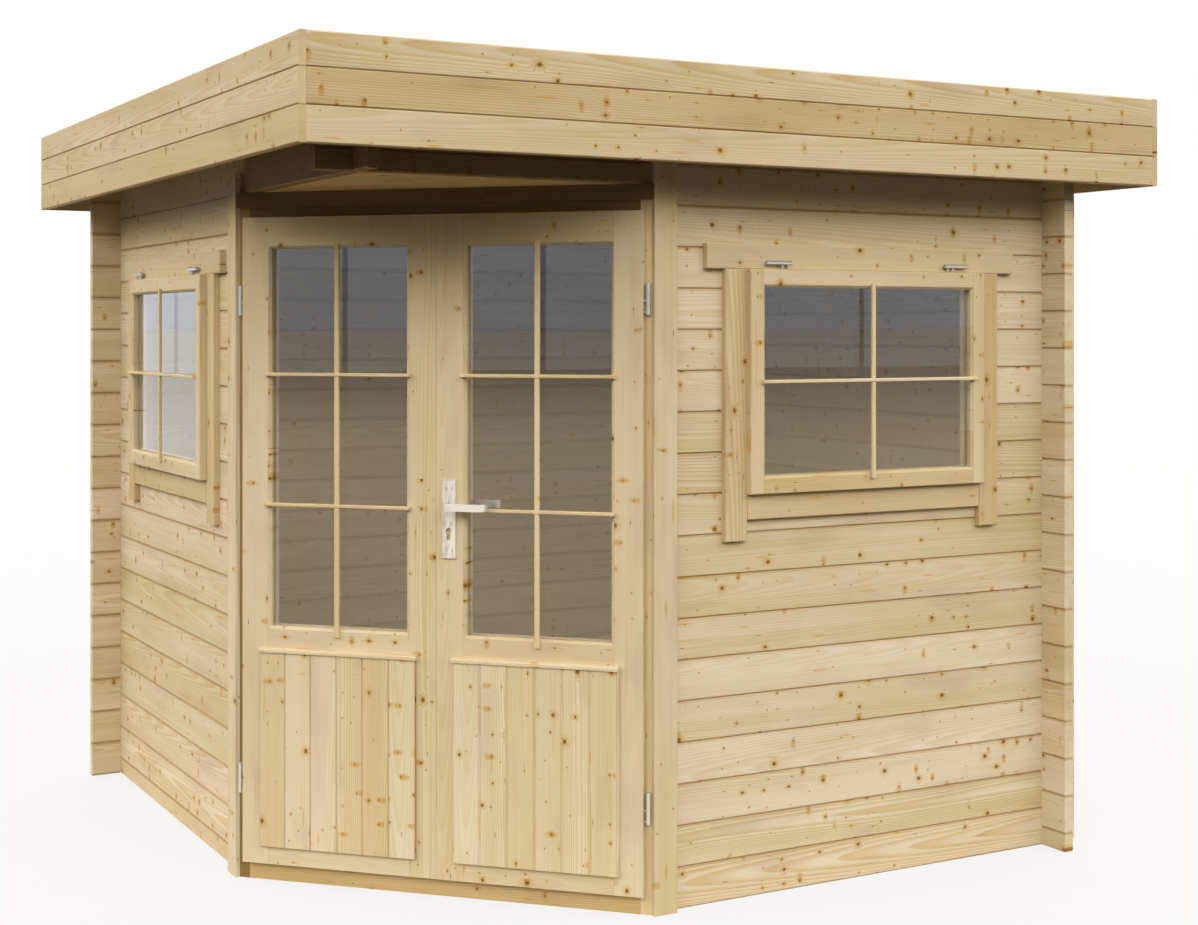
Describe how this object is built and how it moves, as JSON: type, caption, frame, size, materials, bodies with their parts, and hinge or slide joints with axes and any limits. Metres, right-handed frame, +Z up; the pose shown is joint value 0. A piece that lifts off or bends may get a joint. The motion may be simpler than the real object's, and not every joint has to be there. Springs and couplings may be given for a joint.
{
  "type": "log cabin",
  "caption": "Small square garden log cabin with interlocking notched logs, a flat roof behind deep fascias, glazed double doors across one corner and a top-hung window in each front wall.",
  "frame": {"origin": "centre of the square plan, on the ground under the walls", "axes": "+X to the right along the front wall, +Y from the front wall to the back wall, +Z up; the doors cut the corner at -X -Y"},
  "size_m": [2.76, 2.76, 2.3005],
  "materials": {
    "log_wood": "planed spruce, untreated",
    "fascia_wood": "planed spruce boards",
    "trim_wood": "planed spruce boards",
    "frame_wood": "planed spruce",
    "joinery_wood": "sanded spruce",
    "panel_wood": "planed spruce boards",
    "roof_wood": "planed spruce boards",
    "floor_wood": "planed spruce boards",
    "hinge_zinc": "zinc plated",
    "lock_metal": "brushed",
    "roof_felt": "matt roofing sheet",
    "glass": "clear pane"
  },
  "bodies": {
    "cabin": {"front_wall_low": "log_wood", "front_wall_mid": "log_wood", "front_wall_high": "log_wood", "front_beam": "log_wood", "left_wall_low": "log_wood", "left_wall_mid": "log_wood", "left_wall_high": "log_wood", "left_beam": "log_wood", "back_wall": "log_wood", "right_wall": "log_wood", "right_post": "trim_wood", "left_post": "trim_wood", "door_jambs": "frame_wood", "door_head": "frame_wood", "door_threshold": "frame_wood", "door_lintel": "trim_wood", "corner_soffit": "roof_wood", "roof_deck": "roof_wood", "roof_felt": "roof_felt", "roof_purlins": "roof_wood", "front_fascia": "fascia_wood", "back_fascia": "fascia_wood", "left_fascia": "fascia_wood", "right_fascia": "fascia_wood", "floor_boards": "floor_wood", "floor_joists": "floor_wood", "front_window_frame": "frame_wood", "front_window_sash": "joinery_wood", "front_window_glass": "glass", "front_window_trim": "trim_wood", "left_window_frame": "frame_wood", "left_window_sash": "joinery_wood", "left_window_glass": "glass", "left_window_trim": "trim_wood", "window_hinges": "hinge_zinc", "door_hinges": "hinge_zinc"},
    "left_leaf": {"left_leaf_frame": "joinery_wood", "left_leaf_glass": "glass", "left_leaf_panel": "panel_wood", "left_leaf_hinges": "hinge_zinc"},
    "right_leaf": {"right_leaf_frame": "joinery_wood", "right_leaf_glass": "glass", "right_leaf_panel": "panel_wood", "right_leaf_hinges": "hinge_zinc", "lock_plates": "lock_metal"},
    "levers": {"door_levers": "lock_metal"}
  },
  "joints": [
    {"name": "left_leaf_hinge", "type": "hinge", "parent": "cabin", "child": "left_leaf", "pos_m": [-1.16993, -0.30443, 1], "axis": [0, 0, -1], "range_deg": [0, 110]},
    {"name": "right_leaf_hinge", "type": "hinge", "parent": "cabin", "child": "right_leaf", "pos_m": [-0.30443, -1.16993, 1], "axis": [0, 0, 1], "range_deg": [0, 110]},
    {"name": "lever_turn", "type": "hinge", "parent": "right_leaf", "child": "levers", "pos_m": [-0.70091, -0.75748, 1.102], "axis": [0.7071, 0.7071, 0], "range_deg": [0, 40], "stiffness_Nm_per_rad": 1, "springref_deg": -28.65}
  ]
}
